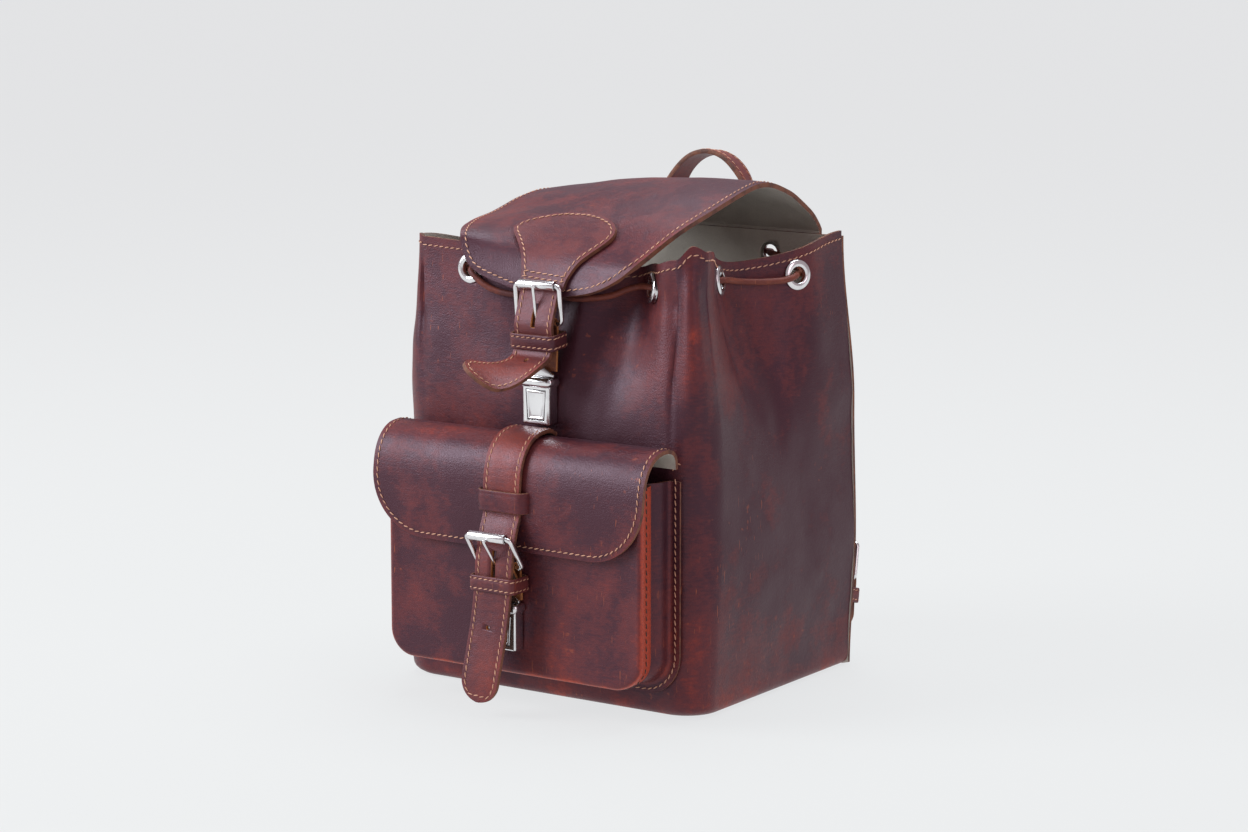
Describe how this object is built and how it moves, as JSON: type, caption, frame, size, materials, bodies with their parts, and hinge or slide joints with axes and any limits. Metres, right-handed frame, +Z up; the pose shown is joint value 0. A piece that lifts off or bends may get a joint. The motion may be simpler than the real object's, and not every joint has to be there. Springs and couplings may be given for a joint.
{
  "type": "leather drawstring backpack",
  "caption": "Flap-over drawstring backpack in leather with a front pocket, buckled straps with tuck locks, a carry handle and adjustable shoulder straps.",
  "frame": {"origin": "centre of the base panel's underside, which stands on the ground", "axes": "+Z up, the front with the pocket faces -Y, +X is the right side as seen from the front"},
  "size_m": [0.2712, 0.3269, 0.3799],
  "materials": {
    "leather": "dark purplish-brown oiled leather, satin",
    "red_leather": "red-brown oiled leather, satin",
    "tan_leather": "tan leather with raw edges",
    "cord_leather": "round leather lace, matt",
    "nickel": "polished nickel plate"
  },
  "bodies": {
    "root": {"back_panel": "leather", "base_panel": "leather", "body_front_and_sides": "leather", "drawstring": "cord_leather", "drawstring_knot": "cord_leather", "eyelet_back_left": "nickel", "eyelet_back_right": "nickel", "eyelet_front_left": "nickel", "eyelet_front_right": "nickel", "eyelet_side_left_front": "nickel", "eyelet_side_left_rear": "nickel", "eyelet_side_right_front": "nickel", "eyelet_side_right_rear": "nickel", "flap_sewn_strip": "leather", "main_lock_case": "nickel", "pocket_flap_sewn_strip": "leather", "pocket_front": "leather", "pocket_gusset": "red_leather", "pocket_lock_case": "nickel", "pocket_strap_root": "leather", "shoulder_left_anchor": "leather", "shoulder_right_anchor": "leather", "yoke_patch": "leather"},
    "flap": {"main_flap": "leather", "flap_patch_and_strap": "leather", "main_buckle_frame": "nickel", "main_keeper": "leather", "main_tab": "tan_leather", "main_lock_tongue": "nickel"},
    "handle": {"carry_handle": "leather"},
    "pocket_flap": {"pocket_flap": "leather", "pocket_strap": "leather", "pocket_flap_bridge": "leather", "pocket_buckle_frame": "nickel", "pocket_keeper": "leather", "pocket_tab": "tan_leather", "pocket_lock_tongue": "nickel"},
    "main_lock_lever": {"main_lock_lever": "nickel"},
    "pocket_lock_lever": {"pocket_lock_lever": "nickel"},
    "shoulder_left": {"shoulder_left_strap": "leather", "shoulder_left_buckle_frame": "nickel", "shoulder_left_keeper": "leather", "shoulder_left_tab": "tan_leather"},
    "shoulder_right": {"shoulder_right_strap": "leather", "shoulder_right_buckle_frame": "nickel", "shoulder_right_keeper": "leather", "shoulder_right_tab": "tan_leather"},
    "main_buckle_roller": {"main_buckle_roller": "nickel"},
    "main_buckle_prong": {"main_buckle_prong": "nickel"},
    "pocket_buckle_roller": {"pocket_buckle_roller": "nickel"},
    "pocket_buckle_prong": {"pocket_buckle_prong": "nickel"},
    "shoulder_left_buckle_roller": {"shoulder_left_buckle_roller": "nickel"},
    "shoulder_left_buckle_prong": {"shoulder_left_buckle_prong": "nickel"},
    "shoulder_right_buckle_roller": {"shoulder_right_buckle_roller": "nickel"},
    "shoulder_right_buckle_prong": {"shoulder_right_buckle_prong": "nickel"}
  },
  "joints": [
    {"name": "flap_hinge", "type": "hinge", "parent": "root", "child": "flap", "pos_m": [0, 0.107, 0.3276], "axis": [-1, 0, 0], "range_deg": [0, 130]},
    {"name": "handle_hinge", "type": "hinge", "parent": "root", "child": "handle", "pos_m": [0, 0.113, 0.297], "axis": [-1, 0, 0], "range_deg": [0, 84.5]},
    {"name": "pocket_flap_hinge", "type": "hinge", "parent": "root", "child": "pocket_flap", "pos_m": [0, -0.12435, 0.201], "axis": [-1, 0, 0], "range_deg": [0, 70]},
    {"name": "main_lock_press", "type": "hinge", "parent": "root", "child": "main_lock_lever", "pos_m": [0, -0.11405, 0.2254], "axis": [1, 0, 0], "range_deg": [0, 6], "stiffness_Nm_per_rad": 0.05},
    {"name": "pocket_lock_press", "type": "hinge", "parent": "root", "child": "pocket_lock_lever", "pos_m": [0, -0.15705, 0.0699], "axis": [1, 0, 0], "range_deg": [0, 6], "stiffness_Nm_per_rad": 0.05},
    {"name": "main_roller_turn", "type": "hinge", "parent": "flap", "child": "main_buckle_roller", "pos_m": [0, -0.1125, 0.301], "axis": [1, 0, 0], "continuous": true},
    {"name": "main_prong_lift", "type": "hinge", "parent": "flap", "child": "main_buckle_prong", "pos_m": [0, -0.1095, 0.274], "axis": [1, 0, 0], "range_deg": [0, 8]},
    {"name": "pocket_roller_turn", "type": "hinge", "parent": "pocket_flap", "child": "pocket_buckle_roller", "pos_m": [0, -0.1735, 0.1295], "axis": [1, 0, 0], "continuous": true},
    {"name": "pocket_prong_lift", "type": "hinge", "parent": "pocket_flap", "child": "pocket_buckle_prong", "pos_m": [0, -0.158, 0.1065], "axis": [1, 0, 0], "range_deg": [0, 8]},
    {"name": "shoulder_left_swing", "type": "hinge", "parent": "root", "child": "shoulder_left", "pos_m": [-0.039, 0.112, 0.236], "axis": [-0.3511, 0.0102, -0.9363], "range_deg": [-8, 8], "stiffness_Nm_per_rad": 0.6},
    {"name": "shoulder_left_roller_turn", "type": "hinge", "parent": "shoulder_left", "child": "shoulder_left_buckle_roller", "pos_m": [-0.1045, 0.1283, 0.086], "axis": [-0.9971, 0, 0.0767], "continuous": true},
    {"name": "shoulder_left_prong_lift", "type": "hinge", "parent": "shoulder_left", "child": "shoulder_left_buckle_prong", "pos_m": [-0.1065, 0.1208, 0.06], "axis": [-0.9971, 0, 0.0767], "range_deg": [0, 8]},
    {"name": "shoulder_right_swing", "type": "hinge", "parent": "root", "child": "shoulder_right", "pos_m": [0.039, 0.112, 0.236], "axis": [0.3511, 0.0102, -0.9363], "range_deg": [-8, 8], "stiffness_Nm_per_rad": 0.6},
    {"name": "shoulder_right_roller_turn", "type": "hinge", "parent": "shoulder_right", "child": "shoulder_right_buckle_roller", "pos_m": [0.1045, 0.1283, 0.086], "axis": [-0.9971, 0, -0.0767], "continuous": true},
    {"name": "shoulder_right_prong_lift", "type": "hinge", "parent": "shoulder_right", "child": "shoulder_right_buckle_prong", "pos_m": [0.1065, 0.1208, 0.06], "axis": [-0.9971, 0, -0.0767], "range_deg": [0, 8]}
  ],
  "couplings": [
    {"joint": "handle_hinge", "follows": "flap_hinge", "ratio": 0.65}
  ]
}
